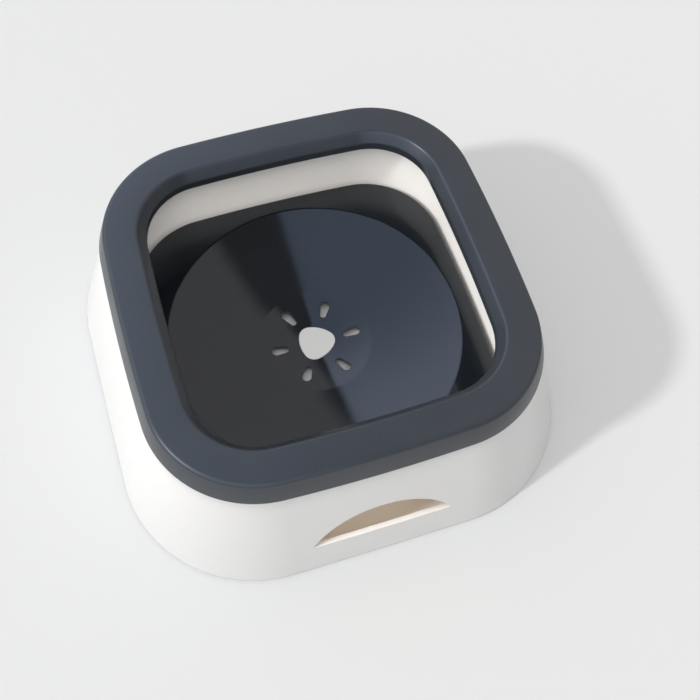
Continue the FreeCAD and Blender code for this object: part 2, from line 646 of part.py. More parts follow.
# Dark splash ring. Its own zero level is the seat on top of the neck.
def make_rim_ring():
    body = new_body("rim_ring")
    cap = outline_sketch(body, "cap_outline", "worked.ring_seat_half", "worked.skirt_edge")
    extrude(body, "Pad", "cap", cap, "worked.ring_depth")
    lean_sides(body, "cap_lean", "sizes.ring_draft")
    hollow_foot = outline_sketch(body, "hollow_foot", "worked.skirt_inner_half", "worked.skirt_edge")
    hollow_top = outline_sketch(body, "hollow_top", "worked.seat_inner_half")
    cut_loft(body, "hollow", hollow_foot, hollow_top)
    hole = outline_sketch(body, "drinking_opening_outline", "worked.hole_half", "sizes.ring_top")
    cut_depth(body, "drinking_opening", hole, "sizes.ring_top")
    lip = ring_sketch(body, "lip_outline", "worked.lip_outer_half", "worked.hole_half", "worked.lip_edge")
    extrude(body, "Pad", "lip", lip, "sizes.lip_depth")

    bevel_edges(body, "bevel", outline_edges(body, "sizes.ring_top", "worked.hole_half"),
                "sizes.bevel_width", "sizes.bevel_depth")
    round_edges(body, "bevel_round", outline_edges(body, "sizes.ring_top", "worked.bevel_half"),
                "sizes.bevel_round")
    round_edges(body, "hole_round", outline_edges(body, "worked.bevel_foot", "worked.hole_half"),
                "sizes.bevel_round")
    round_edges(body, "outer_round", outline_edges(body, "sizes.ring_top", "worked.ring_top_half"),
                "sizes.ring_outer_round")
    round_edges(body, "lip_inner_round", outline_edges(body, "worked.lip_edge", "worked.hole_half"),
                "sizes.edge_round")
    round_edges(body, "lip_outer_round", outline_edges(body, "worked.lip_edge", "worked.lip_outer_half"),
                "sizes.edge_round")
    round_edges(body, "skirt_round", outline_edges(body, "worked.skirt_edge", "sizes.ring_half"),
                "sizes.edge_round")

    lug_outline = new_sketch(body, "lug_outline", "XZ_Plane", "worked.lug_tip")
    add_box_outline(lug_outline, "worked.lug_side", "worked.lug_low", "worked.lug_high")
    repeat_round(body, "clip_lugs", extrude(body, "Pad", "clip_lug", lug_outline, "worked.lug_length"))
    body.setExpression(".Placement.Base.z", "worked.seat_height")
    return body


# Dark floating plate with its dish and dimple. Its own zero level is the underside of the float.
def make_float_disc():
    body = new_body("float_disc")
    block = outline_sketch(body, "plate_outline", "worked.disc_half", "worked.turndown_edge")
    extrude(body, "Pad", "plate", block, "sizes.plate_turndown")
    hollow = outline_sketch(body, "plate_hollow_outline", "worked.disc_inner_half", "worked.turndown_edge")
    cut_depth(body, "plate_hollow", hollow, "worked.plate_hollow", True)

    dimple_middle = (None, "worked.dimple_bottom")
    dimple_rim = ("sizes.dimple_radius", "worked.dimple_rim")
    dish_rim = ("worked.dish_radius", "worked.float_height")
    dish_under = ("worked.dish_radius", "worked.dish_rim_under")
    dimple_under = ("sizes.dimple_radius", "worked.dimple_rim_under")
    middle_under = (None, "worked.dimple_bottom_under")
    dimple_arc = ("worked.dimple_arc", "worked.dimple_middle")
    dish_arc = ("worked.dish_arc", "worked.dish_middle")
    dish_arc_under = ("worked.dish_arc", "worked.dish_middle_under")
    dimple_arc_under = ("worked.dimple_arc", "worked.dimple_middle_under")
    shell = section_sketch(body, "dish_section",
                           [dimple_middle, dimple_rim, dish_rim, dish_under, dimple_under, middle_under],
                           {0: dimple_arc, 1: dish_arc, 3: dish_arc_under, 4: dimple_arc_under})
    turn_section(body, "Revolution", "dish", shell)
    above_rim = ("worked.dish_radius", "worked.above_plate")
    above_middle = (None, "worked.above_plate")
    clearing = section_sketch(body, "clearing_section",
                              [dimple_middle, dimple_rim, dish_rim, above_rim, above_middle],
                              {0: dimple_arc, 1: dish_arc})
    before = body.Shape.Volume
    turn_section(body, "Groove", "dish_clearing", clearing)
    must_shrink(body, before, "dish clearing")

    round_edges(body, "dish_rim_round", circle_edges(body, "worked.float_height", "worked.dish_radius"),
                "sizes.dish_round")
    round_edges(body, "plate_round", outline_edges(body, "worked.float_height", "worked.disc_half"),
                "sizes.plate_round")

    triangle = new_sketch(body, "insert_hole_outline", "XY_Plane", "worked.float_height")
    add_triangle(triangle, "sizes.insert_round", "worked.insert_side_arc")
    cut_through(body, "insert_hole", triangle)
    slot_outline = new_sketch(body, "slot_outline", "XY_Plane", "worked.float_height")
    add_slot(slot_outline)
    repeat_slots(body, "slots", cut_through(body, "slot", slot_outline))
    body.setExpression(".Placement.Base.z", "worked.float_rest")
    return body


# White lower shell of the float: closes the air chamber under the dish and fills the triangular hole.
def make_float_base():
    body = new_body("float_base")
    section = section_sketch(body, "shell_section", [
        (None, None),
        ("worked.chamber_radius", None),
        ("worked.chamber_radius", "worked.outer_wall_top"),
        ("worked.chamber_inside", "worked.outer_wall_top_inside"),
        ("worked.chamber_inside", "sizes.chamber_floor"),
        ("worked.hub_outside", "sizes.chamber_floor"),
        ("worked.hub_outside", "worked.hub_wall_top_outside"),
        ("worked.hub_radius", "worked.hub_wall_top"),
        ("worked.hub_radius", "sizes.chamber_floor"),
        (None, "sizes.chamber_floor"),
    ], {})
    turn_section(body, "Revolution", "shell", section)
    boss_outline = new_sketch(body, "boss_outline", "XY_Plane", "worked.boss_start")
    add_triangle(boss_outline, "worked.boss_round", "worked.boss_side_arc")
    extrude(body, "Pad", "boss", boss_outline, "worked.boss_length")
    inlet_outline = new_sketch(body, "inlet_outline", "XY_Plane", "sizes.chamber_floor")
    add_circle(inlet_outline, "worked.inlet_x", "worked.inlet_y", "sizes.inlet_radius")
    repeat_slots(body, "inlets", cut_through(body, "inlet", inlet_outline))
    body.setExpression(".Placement.Base.z", "worked.float_rest")
    return body


# One round non-slip pad, glued into its recess under the basin.
def make_foot(label, x_sign, y_sign):
    body = new_body(label)
    outline = new_sketch(body, label + "_outline", "XY_Plane")
    add_circle(outline, None, None, "sizes.foot_radius")
    extrude(body, "Pad", label + "_pad", outline, "sizes.foot_thickness")
    round_edges(body, label + "_round", circle_edges(body, None, "sizes.foot_radius"), "sizes.foot_edge")
    body.setExpression(".Placement.Base.x", x_sign + "worked.foot_reach")
    body.setExpression(".Placement.Base.y", y_sign + "worked.foot_reach")
    return body


make_sizes()
nodes = [make_bowl_body(), make_rim_ring(), make_float_disc(), make_float_base()]
for depth_name, y_sign in (("front", "-"), ("back", "+")):
    for side_name, x_sign in (("left", "-"), ("right", "+")):
        nodes.append(make_foot("foot_%s_%s" % (depth_name, side_name), x_sign, y_sign))

doc.recompute()
for thing in doc.Objects:
    if "Invalid" in thing.State or "Error" in thing.State:
        raise RuntimeError(thing.Name + " did not build")
for node in nodes:
    if node.Shape.isNull() or not node.Shape.isValid() or len(node.Shape.Solids) != 1:
        raise RuntimeError(node.Label + " is not one valid solid")

os.makedirs("parts", exist_ok=True)
for node in nodes:
    node.Shape.exportStep("parts/%s.step" % node.Label)
    box = node.Shape.BoundBox
    print("%s: %.0f mm3, z %.2f to %.2f" % (node.Label, node.Shape.Volume, box.ZMin, box.ZMax))
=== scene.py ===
import math

import bmesh
import bpy
from mathutils import Matrix, Vector


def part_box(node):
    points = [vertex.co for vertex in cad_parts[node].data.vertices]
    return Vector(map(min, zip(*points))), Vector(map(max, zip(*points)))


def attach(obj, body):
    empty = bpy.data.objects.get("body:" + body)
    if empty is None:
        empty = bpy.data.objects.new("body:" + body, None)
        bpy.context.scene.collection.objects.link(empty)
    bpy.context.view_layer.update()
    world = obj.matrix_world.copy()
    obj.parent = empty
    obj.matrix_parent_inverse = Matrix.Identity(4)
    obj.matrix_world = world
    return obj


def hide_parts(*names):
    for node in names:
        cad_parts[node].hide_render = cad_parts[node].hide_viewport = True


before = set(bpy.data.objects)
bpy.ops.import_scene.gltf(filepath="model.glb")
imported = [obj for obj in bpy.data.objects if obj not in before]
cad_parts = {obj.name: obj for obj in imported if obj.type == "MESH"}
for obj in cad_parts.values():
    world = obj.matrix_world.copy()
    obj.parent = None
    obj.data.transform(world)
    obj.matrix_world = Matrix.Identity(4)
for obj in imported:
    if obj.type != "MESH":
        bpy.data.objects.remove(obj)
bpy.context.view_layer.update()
mm = 0.001
mergeDistance = 0.002 * mm
sharpAngle = math.radians(40)
print("frame loaded:", ", ".join(sorted(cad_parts)))


# Small helpers for building node trees.

def newSocket(tree, label, direction, kind):
    tree.interface.new_socket(label, in_out=direction, socket_type="NodeSocket" + kind)


def addNode(tree, kind, settings=None, **inputs):
    # settings are the node's own properties, inputs are values or sockets by name
    node = tree.nodes.new(kind)
    for name, value in (settings or {}).items():
        setattr(node, name, value)
    for name, value in inputs.items():
        feed(tree, node, name.replace("_", " "), value)
    return node


def feed(tree, node, name, value):
    socket = node.inputs[name]
    if isinstance(value, bpy.types.NodeSocket):
        tree.links.new(value, socket)
    else:
        socket.default_value = value


def addMath(tree, operation, *terms):
    node = tree.nodes.new("ShaderNodeMath")
    node.operation = operation
    for index, term in enumerate(terms):
        feed(tree, node, index, term)
    return node.outputs[0]


def addRamp(tree, value, low, high, toLow=0.0, toHigh=1.0):
    # a smooth change between two values of a mask or a direction
    node = addNode(tree, "ShaderNodeMapRange", {"interpolation_type": "SMOOTHSTEP"}, Value=value,
                   From_Min=low, From_Max=high, To_Min=toLow, To_Max=toHigh)
    return node.outputs[0]


def addMix(tree, share, first, second, blend="MIX"):
    node = tree.nodes.new("ShaderNodeMix")
    node.data_type = "RGBA"
    node.blend_type = blend
    for index, value in ((0, share), (6, first), (7, second)):
        if isinstance(value, tuple):
            value = (*value, 1.0)
        feed(tree, node, index, value)
    return node.outputs[2]


# Effects that several finishes share. Scales are per metre, and masks run from their first value to their second.

wear = {
    "smudgeScale": 26.0,
    "smudgeMask": (0.40, 0.70),
    "scratchScale": 9.0,
    "scratchTurn": 0.6,
    "scratchStretch": (60.0, 900.0, 60.0),
    "scratchLine": (0.66, 0.74),
    "scratchPatch": (0.50, 0.66),
    "scratchRoughness": 0.25,
    "dustScale": 900.0,
    "dustSpeck": 0.09,
    "dustColor": (0.45, 0.44, 0.42),
    "dustCover": 0.6,
    "waveScale": 18.0,
}


def newEffect(name, inputs, outputs):
    tree = bpy.data.node_groups.new(name, "ShaderNodeTree")
    for label in inputs:
        newSocket(tree, label, "INPUT", "Float")
    for label in outputs:
        newSocket(tree, label, "OUTPUT", "Float")
    return tree, tree.nodes.new("NodeGroupInput").outputs, tree.nodes.new("NodeGroupOutput")


def makeHandlingMarks():
    # broad smudges from handling, fine hairline scratches and a little settled dust, each as a mask
    tree, given, result = newEffect("handlingMarks", ("Scratch Amount", "Dust Amount"), ("Smudge", "Scratch", "Dust"))
    place = addNode(tree, "ShaderNodeTexCoord").outputs["Object"]
    broad = addNode(tree, "ShaderNodeTexNoise", Vector=place, Scale=wear["smudgeScale"], Detail=2.0,
                    Roughness=0.45, Distortion=0.2)
    tree.links.new(addRamp(tree, broad.outputs["Fac"], *wear["smudgeMask"]), result.inputs["Smudge"])

    bend = addNode(tree, "ShaderNodeTexNoise", Vector=place, Scale=wear["scratchScale"], Detail=1.0)
    turned = addNode(tree, "ShaderNodeMapping", Vector=place, Rotation=(0.0, 0.0, wear["scratchTurn"]),
                     Scale=wear["scratchStretch"])
    drawn = addNode(tree, "ShaderNodeTexNoise", Vector=turned.outputs[0], Scale=1.0, Detail=2.0, Distortion=0.4)
    line = addRamp(tree, drawn.outputs["Fac"], *wear["scratchLine"])
    patch = addRamp(tree, bend.outputs["Fac"], *wear["scratchPatch"])
    scratch = addMath(tree, "MULTIPLY", addMath(tree, "MULTIPLY", line, patch), given["Scratch Amount"])
    tree.links.new(scratch, result.inputs["Scratch"])

    specks = addNode(tree, "ShaderNodeTexVoronoi", Vector=place, Scale=wear["dustScale"])
    small = addMath(tree, "LESS_THAN", specks.outputs["Distance"], wear["dustSpeck"])
    chance = addNode(tree, "ShaderNodeSeparateColor", Color=specks.outputs["Color"])
    kept = addMath(tree, "LESS_THAN", chance.outputs[0], given["Dust Amount"])
    surface = addNode(tree, "ShaderNodeNewGeometry")
    facing = addNode(tree, "ShaderNodeSeparateXYZ", Vector=surface.outputs["Normal"])
    level = addMath(tree, "MAXIMUM", facing.outputs["Z"], 0.0)
    tree.links.new(addMath(tree, "MULTIPLY", addMath(tree, "MULTIPLY", small, kept), level), result.inputs["Dust"])
    return tree


def makeMouldSurface():
    # what the mould leaves on the plastic, as heights: a fine grain and slow sink waves
    tree, given, result = newEffect("mouldSurface", ("Grain Scale",), ("Grain", "Wave"))
    place = addNode(tree, "ShaderNodeTexCoord").outputs["Object"]
    for label, scale, detail in (("Grain", given["Grain Scale"], 3.0), ("Wave", wear["waveScale"], 1.0)):
        noise = addNode(tree, "ShaderNodeTexNoise", Vector=place, Scale=scale, Detail=detail)
        tree.links.new(noise.outputs["Fac"], result.inputs[label])
    return tree


handlingMarks = makeHandlingMarks()
mouldSurface = makeMouldSurface()


# The finishes. Heights are in metres, glow is the depth that light travels in the white plastic.

finishes = {
    "bowlWhite": {"color": (0.77, 0.77, 0.76), "worn": (0.765, 0.762, 0.751), "roughness": (0.24, 0.27),
                  "ior": 1.49, "glow": 0.0015, "glowTint": (1.0, 0.80, 0.66), "glowWeight": 0.15,
                  "grainScale": 1500.0, "grainHeight": 0.000004, "waveHeight": 0.00006, "scratches": 0.0,
                  "dust": 0.01, "easedEdge": 0.0004},
    "ringSlate": {"color": (0.034, 0.040, 0.048), "worn": (0.037, 0.043, 0.051), "roughness": (0.34, 0.40),
                  "ior": 1.56, "grainScale": 2200.0, "grainHeight": 0.000008, "waveHeight": 0.00008,
                  "scratches": 0.25, "dust": 0.04, "easedEdge": 0.0002},
    "discSlate": {"color": (0.012, 0.015, 0.019), "worn": (0.014, 0.017, 0.021), "roughness": (0.035, 0.07),
                  "ior": 1.56, "grainScale": 1200.0, "grainHeight": 0.0, "waveHeight": 0.00005,
                  "scratches": 0.30, "dust": 0.03, "easedEdge": 0.0006},
    # the float's white is set lighter than the body's white: painted light that makes up for the shade the float sits
    # in under the disc
    "floatWhitePaintedLight": {"color": (0.87, 0.87, 0.86), "worn": (0.86, 0.857, 0.845), "roughness": (0.26, 0.29),
                   "ior": 1.49, "glow": 0.0015, "glowTint": (1.0, 0.80, 0.66), "glowWeight": 0.15,
                   "grainScale": 1500.0, "grainHeight": 0.000004, "waveHeight": 0.00006, "scratches": 0.0,
                   "dust": 0.01, "easedEdge": 0.0004},
    "footRubber": {"color": (0.05, 0.052, 0.055), "worn": (0.085, 0.085, 0.085), "roughness": (0.60, 0.80),
                   "ior": 1.48, "grainScale": 1800.0, "grainHeight": 0.00004, "waveHeight": 0.0,
                   "scratches": 0.0, "dust": 0.12, "easedEdge": 0.0002},
}


def makeFinish(name, finish):
    material = bpy.data.materials.new(name)
    material.use_nodes = True
    tree = material.node_tree
    shader = tree.nodes["Principled BSDF"]
    shader.inputs["IOR"].default_value = finish["ior"]
    if "glow" in finish:
        shader.inputs["Subsurface Weight"].default_value = finish["glowWeight"]
        shader.inputs["Subsurface Radius"].default_value = finish["glowTint"]
        shader.inputs["Subsurface Scale"].default_value = finish["glow"]
    marks = addNode(tree, "ShaderNodeGroup", {"node_tree": handlingMarks}, Dust_Amount=finish["dust"],
                    Scratch_Amount=finish["scratches"])
    mould = addNode(tree, "ShaderNodeGroup", {"node_tree": mouldSurface}, Grain_Scale=finish["grainScale"])
    smudge = marks.outputs["Smudge"]
    scratch = marks.outputs["Scratch"]
    handled = addMix(tree, smudge, finish["color"], finish["worn"])
    dust = addMath(tree, "MULTIPLY", marks.outputs["Dust"], wear["dustCover"])
    dusty = addMix(tree, dust, handled, wear["dustColor"])
    tree.links.new(dusty, shader.inputs["Base Color"])
    gloss = addRamp(tree, smudge, 0.0, 1.0, *finish["roughness"])
    rough = addMath(tree, "MULTIPLY_ADD", scratch, wear["scratchRoughness"], gloss)
    tree.links.new(rough, shader.inputs["Roughness"])
    wave = addMath(tree, "MULTIPLY", mould.outputs["Wave"], finish["waveHeight"])
    height = addMath(tree, "MULTIPLY_ADD", mould.outputs["Grain"], finish["grainHeight"], wave)
    # edges that the solids leave sharp catch a thin line of light
    eased = addNode(tree, "ShaderNodeBevel", {"samples": 6}, Radius=finish["easedEdge"])
    bump = addNode(tree, "ShaderNodeBump", Distance=1.0, Height=height, Normal=eased.outputs[0])
    tree.links.new(bump.outputs["Normal"], shader.inputs["Normal"])
    return material


materials = {name: makeFinish(name, finish) for name, finish in finishes.items()}
print("finishes made:", ", ".join(materials))


def dressNode(name, material):
    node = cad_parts[name]
    node.data.materials.clear()
    node.data.materials.append(material)


dressNode("bowl_body", materials["bowlWhite"])
dressNode("float_disc", materials["discSlate"])
dressNode("float_base", materials["floatWhitePaintedLight"])


# Geometry Nodes pieces: a tree is run once on a carrier object and left as a plain mesh.

def newPieceTree(name, inputs):
    tree = bpy.data.node_groups.new(name, "GeometryNodeTree")
    newSocket(tree, "Geometry", "INPUT", "Geometry")
    for label, kind in inputs.items():
        newSocket(tree, label, "INPUT", kind)
    newSocket(tree, "Geometry", "OUTPUT", "Geometry")
    return tree, tree.nodes.new("NodeGroupInput").outputs, tree.nodes.new("NodeGroupOutput")


def endPieceTree(tree, geometry, material, result):
    real = addNode(tree, "GeometryNodeRealizeInstances", Geometry=geometry)
    smooth = addNode(tree, "GeometryNodeSetShadeSmooth", Geometry=real.outputs[0])
    done = addNode(tree, "GeometryNodeSetMaterial", Geometry=smooth.outputs[0], Material=material)
    tree.links.new(done.outputs[0], result.inputs["Geometry"])


def runTree(name, tree, values):
    carrier = bpy.data.objects.new(name + "Carrier", bpy.data.meshes.new(name + "Carrier"))
    bpy.context.scene.collection.objects.link(carrier)
    modifier = carrier.modifiers.new(name, "NODES")
    modifier.node_group = tree
    for item in tree.interface.items_tree:
        if item.in_out == "INPUT" and item.name in values:
            modifier[item.identifier] = values[item.name]
    bpy.context.view_layer.update()
    depsgraph = bpy.context.evaluated_depsgraph_get()
    mesh = bpy.data.meshes.new_from_object(carrier.evaluated_get(depsgraph))
    mesh.name = name
    bpy.data.objects.remove(carrier)
    piece = bpy.data.objects.new(name, mesh)
    bpy.context.scene.collection.objects.link(piece)
    return piece


def finishPiece(piece):
    # outward faces, and edges turned more than the sharp angle stay sharp
    work = bmesh.new()
    work.from_mesh(piece.data)
    bmesh.ops.remove_doubles(work, verts=work.verts, dist=mergeDistance)
    bmesh.ops.recalc_face_normals(work, faces=work.faces)
    for edge in work.edges:
        edge.smooth = len(edge.link_faces) == 2 and edge.calc_face_angle() < sharpAngle
    work.to_mesh(piece.data)
    work.free()


def drawSection(name, corners, origin):
    # a closed section of outward offset, height and rounding, for a tree to sweep round its path
    curve = bpy.data.curves.new(name, "CURVE")
    curve.dimensions = "3D"
    spline = curve.splines.new("POLY")
    spline.points.add(len(corners) - 1)
    for point, (out, height, rounding) in zip(spline.points, corners):
        point.co = (out - origin, -height, 0.0, 1.0)   # a swept section hangs down, so heights are turned
        point.radius = rounding / mm
    spline.use_cyclic_u = True
    section = bpy.data.objects.new(name, curve)
    bpy.context.scene.collection.objects.link(section)
    return section


def sweepSection(tree, section, roundSteps, path):
    # the section with its corners rounded, swept round the path
    upright = addNode(tree, "GeometryNodeSetCurveNormal", {"mode": "Z_UP"}, Curve=path)
    drawn = addNode(tree, "GeometryNodeObjectInfo", Object=section)
    rounding = addMath(tree, "MULTIPLY", addNode(tree, "GeometryNodeInputRadius").outputs[0], mm)
    rounded = addNode(tree, "GeometryNodeFilletCurve", {"mode": "POLY"}, Curve=drawn.outputs["Geometry"],
                      Count=roundSteps, Radius=rounding)
    plain = addNode(tree, "GeometryNodeSetCurveRadius", Curve=rounded.outputs[0], Radius=1.0)
    swept = addNode(tree, "GeometryNodeCurveToMesh", Curve=upright.outputs[0], Profile_Curve=plain.outputs[0])
    return swept.outputs[0]


def cornerLead(cornerCentre, bowCentre):
    # angle at which a bowed side hands over to the round corner
    return math.atan2(cornerCentre, cornerCentre + bowCentre)


# Splash ring: its section swept round the bowed square, with the four clip lugs inside the skirt.

ringSizes = {
    "half": 92.3 * mm,             # to the outer edge of the skirt, at the middle of a side
    "cornerCentre": 40 * mm,
    "bowCentre": 830 * mm,
    "skirtEdge": 60.5 * mm,        # height of the skirt's lower edge
    "top": 73 * mm,
    "topHalf": 88.48 * mm,
    "bevelHalf": 73.21 * mm,       # where the top turns down into the slope
    "holeHalf": 69.61 * mm,
    "slopeFoot": 67.9 * mm,
    "lipEdge": 63.5 * mm,
    "lipHalf": 72.61 * mm,
    "capUnder": 70.6 * mm,
    "seatHalf": 86.91 * mm,
    "skirtInside": 90.0 * mm,
    "outerRound": 2.4 * mm,
    "slopeRound": 1.8 * mm,
    "edgeRound": 0.7 * mm,
    "innerRound": 0.5 * mm,
    "roundSteps": 7,
    "cornerSteps": 56,
    "sideSteps": 18,
    "lugLength": 24 * mm,
    "lugHeight": 1.4 * mm,
    "lugTip": 87.62 * mm,
    "lugMiddle": 65.0 * mm,
    "pathMerge": 0.01 * mm,
}


def ringSection():
    # corners of the section as outward offset, height and rounding
    size = ringSizes
    corners = [
        (size["half"], size["skirtEdge"], size["edgeRound"]),
        (size["topHalf"], size["top"], size["outerRound"]),
        (size["bevelHalf"], size["top"], size["slopeRound"]),
        (size["holeHalf"], size["slopeFoot"], size["slopeRound"]),
        (size["holeHalf"], size["lipEdge"], size["edgeRound"]),
        (size["lipHalf"], size["lipEdge"], size["edgeRound"]),
        (size["lipHalf"], size["capUnder"], size["innerRound"]),
        (size["seatHalf"], size["capUnder"], size["innerRound"]),
        (size["skirtInside"], size["skirtEdge"], size["innerRound"]),
    ]
    return drawSection("ringSection", corners, size["half"])


def repeatRound(tree, geometry):
    # four copies about the middle, one for each side
    spots = addNode(tree, "GeometryNodeMeshLine", {"mode": "OFFSET"}, Count=4, Offset=(0.0, 0.0, 0.0))
    turn = addMath(tree, "MULTIPLY", addNode(tree, "GeometryNodeInputIndex").outputs[0], math.pi / 2)
    facing = addNode(tree, "ShaderNodeCombineXYZ", Z=turn)
    copies = addNode(tree, "GeometryNodeInstanceOnPoints", Points=spots.outputs[0], Instance=geometry,
                     Rotation=facing.outputs[0])
    return addNode(tree, "GeometryNodeRealizeInstances", Geometry=copies.outputs[0]).outputs[0]


def makeRingTree():
    tree, given, result = newPieceTree("sweptRing", {
        "Section": "Object", "Half": "Float", "Corner Centre": "Float", "Bow Centre": "Float",
        "Corner Lead": "Float", "Corner Steps": "Int", "Side Steps": "Int", "Round Steps": "Int",
        "Lug Length": "Float", "Lug Height": "Float", "Lug Tip": "Float", "Lug Middle": "Float",
        "Merge Distance": "Float", "Material": "Material"})
    lead = given["Corner Lead"]
    twice = addMath(tree, "MULTIPLY", lead, 2.0)
    bow = addNode(tree, "GeometryNodeCurveArc", {"mode": "RADIUS"}, Resolution=given["Side Steps"],
                  Radius=addMath(tree, "ADD", given["Half"], given["Bow Centre"]),
                  Start_Angle=addMath(tree, "MULTIPLY", lead, -1.0), Sweep_Angle=twice)
    bowBack = addNode(tree, "ShaderNodeCombineXYZ", X=addMath(tree, "MULTIPLY", given["Bow Centre"], -1.0))
    bow = addNode(tree, "GeometryNodeTransform", Geometry=bow.outputs["Curve"], Translation=bowBack.outputs[0])
    reach = addMath(tree, "DIVIDE", addMath(tree, "ADD", given["Bow Centre"], given["Corner Centre"]),
                    addMath(tree, "COSINE", lead))
    cornerRadius = addMath(tree, "SUBTRACT", addMath(tree, "ADD", given["Half"], given["Bow Centre"]), reach)
    corner = addNode(tree, "GeometryNodeCurveArc", {"mode": "RADIUS"}, Resolution=given["Corner Steps"],
                     Radius=cornerRadius, Start_Angle=lead,
                     Sweep_Angle=addMath(tree, "SUBTRACT", math.pi / 2, twice))
    cornerPlace = addNode(tree, "ShaderNodeCombineXYZ", X=given["Corner Centre"], Y=given["Corner Centre"])
    corner = addNode(tree, "GeometryNodeTransform", Geometry=corner.outputs["Curve"],
                     Translation=cornerPlace.outputs[0])
    quarter = tree.nodes.new("GeometryNodeJoinGeometry")
    tree.links.new(corner.outputs[0], quarter.inputs[0])
    tree.links.new(bow.outputs[0], quarter.inputs[0])
    path = repeatRound(tree, quarter.outputs[0])
    edges = addNode(tree, "GeometryNodeCurveToMesh", Curve=path)
    merged = addNode(tree, "GeometryNodeMergeByDistance", Geometry=edges.outputs[0], Distance=given["Merge Distance"])
    loop = addNode(tree, "GeometryNodeMeshToCurve", Mesh=merged.outputs[0])
    swept = sweepSection(tree, given["Section"], given["Round Steps"], loop.outputs[0])

    lugSize = addNode(tree, "ShaderNodeCombineXYZ", X=addMath(tree, "MULTIPLY", given["Lug Height"], 2.0),
                      Y=given["Lug Length"], Z=given["Lug Height"])
    lug = addNode(tree, "GeometryNodeMeshCube", Size=lugSize.outputs[0])
    lugMiddle = addNode(tree, "ShaderNodeCombineXYZ", X=addMath(tree, "ADD", given["Lug Tip"], given["Lug Height"]),
                        Z=given["Lug Middle"])
    lug = addNode(tree, "GeometryNodeTransform", Geometry=lug.outputs["Mesh"], Translation=lugMiddle.outputs[0])
    whole = tree.nodes.new("GeometryNodeJoinGeometry")
    tree.links.new(repeatRound(tree, lug.outputs[0]), whole.inputs[0])
    tree.links.new(swept, whole.inputs[0])
    endPieceTree(tree, whole.outputs[0], given["Material"], result)
    return tree


def makeSplashRing():
    size = ringSizes
    section = ringSection()
    ring = runTree("splashRing", makeRingTree(), {
        "Section": section, "Half": size["half"], "Corner Centre": size["cornerCentre"],
        "Bow Centre": size["bowCentre"], "Corner Lead": cornerLead(size["cornerCentre"], size["bowCentre"]),
        "Corner Steps": size["cornerSteps"], "Side Steps": size["sideSteps"], "Round Steps": size["roundSteps"],
        "Lug Length": size["lugLength"], "Lug Height": size["lugHeight"], "Lug Tip": size["lugTip"],
        "Lug Middle": size["lugMiddle"], "Merge Distance": size["pathMerge"],
        "Material": materials["ringSlate"]})
    bpy.data.objects.remove(section)
    finishPiece(ring)
    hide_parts("rim_ring")
    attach(ring, "bowl")
    print("splash ring:", len(ring.data.polygons), "faces")


makeSplashRing()


# Non-slip feet: a round pad with grip grooves turned into its underside, one under each corner.

footSizes = {
    "thickness": 1.8 * mm,
    "edgeRound": 0.45 * mm,
    "grooves": [2.0 * mm, 3.6 * mm, 5.2 * mm],   # middle radius of each groove
    "grooveWidth": 0.7 * mm,
    "grooveDepth": 0.4 * mm,
    "turnSteps": 64,
    "roundSteps": 3,
    "grooveRound": 0.12 * mm,
    "topRound": 0.2 * mm,
    "inset": 0.01 * mm,
    "turnRadius": 0.001 * mm,                    # small enough for the middle points to merge
}


def footSection(radius):
    size = footSizes
    half = size["grooveWidth"] / 2
    corners = [(0.0, size["thickness"], 0.0), (0.0, 0.0, 0.0)]
    for middle in size["grooves"]:
        for out, height in ((middle - half, 0.0), (middle - half, size["grooveDepth"]),
                            (middle + half, size["grooveDepth"]), (middle + half, 0.0)):
            corners.append((out, height, size["grooveRound"]))
    corners += [(radius, 0.0, size["edgeRound"]), (radius, size["thickness"], size["topRound"])]
    return drawSection("footSection", corners, 0.0)


def makeFootTree():
    tree, given, result = newPieceTree("turnedFoot", {
        "Section": "Object", "Middle": "Vector", "Turn Radius": "Float", "Turn Steps": "Int", "Round Steps": "Int",
        "Material": "Material"})
    turn = addNode(tree, "GeometryNodeCurvePrimitiveCircle", Resolution=given["Turn Steps"],
                   Radius=given["Turn Radius"])
    turned = sweepSection(tree, given["Section"], given["Round Steps"], turn.outputs["Curve"])
    placed = addNode(tree, "GeometryNodeTransform", Geometry=turned, Translation=given["Middle"])
    endPieceTree(tree, placed.outputs[0], given["Material"], result)
    return tree


def makeFeet():
    tree = makeFootTree()
    size = footSizes
    for side in ("front_left", "front_right", "back_left", "back_right"):
        low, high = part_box("foot_" + side)
        section = footSection((high.x - low.x) / 2 - size["inset"])
        foot = runTree("gripPad_" + side, tree, {
            "Section": section, "Middle": ((low.x + high.x) / 2, (low.y + high.y) / 2, 0.0),
            "Turn Radius": size["turnRadius"], "Turn Steps": size["turnSteps"], "Round Steps": size["roundSteps"],
            "Material": materials["footRubber"]})
        bpy.data.objects.remove(section)
        finishPiece(foot)
        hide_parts("foot_" + side)
        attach(foot, "bowl")
    print("feet ready")


makeFeet()


# The studio: floor, sky, window light and camera.

